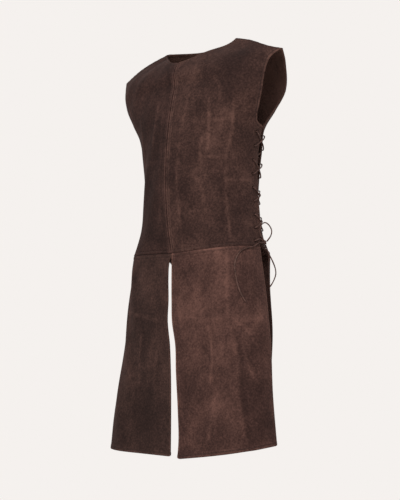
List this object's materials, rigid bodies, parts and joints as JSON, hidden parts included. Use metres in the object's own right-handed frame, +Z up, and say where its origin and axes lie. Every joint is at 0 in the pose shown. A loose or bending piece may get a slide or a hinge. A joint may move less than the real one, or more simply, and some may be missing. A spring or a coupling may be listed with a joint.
{
  "type": "surcoat",
  "caption": "Sleeveless dark brown suede over-garment with a split skirt, worn over a tunic, with open sides drawn together by laced thongs that end in a bow at each hip.",
  "frame": {"origin": "midway between the two neck points, where the shoulder seams reach the neck opening", "axes": "+Z up the wearer, +X towards the wearer's left, the wearer faces -Y"},
  "size_m": [0.5338, 0.2608, 1.0804],
  "materials": {
    "suede": "matt dark chocolate-brown suede with a soft mottled nap",
    "suede_skirt": "matt brown suede, a little lighter and redder where the nap is brushed the other way",
    "thong": "matt dark brown leather thong"
  },
  "bodies": {
    "root": {"front_bodice_left": "suede", "front_bodice_right": "suede", "back_bodice": "suede", "front_skirt_left": "suede_skirt", "front_skirt_right": "suede", "back_skirt": "suede", "lace_left_a": "thong", "lace_left_b": "thong", "bow_knot_left": "thong", "bow_loop_left": "thong", "bow_tail_outer_left": "thong", "bow_tail_front_left": "thong", "lace_right_a": "thong", "lace_right_b": "thong", "bow_knot_right": "thong", "bow_loop_right": "thong", "bow_tail_outer_right": "thong", "bow_tail_front_right": "thong"}
  },
  "joints": []
}
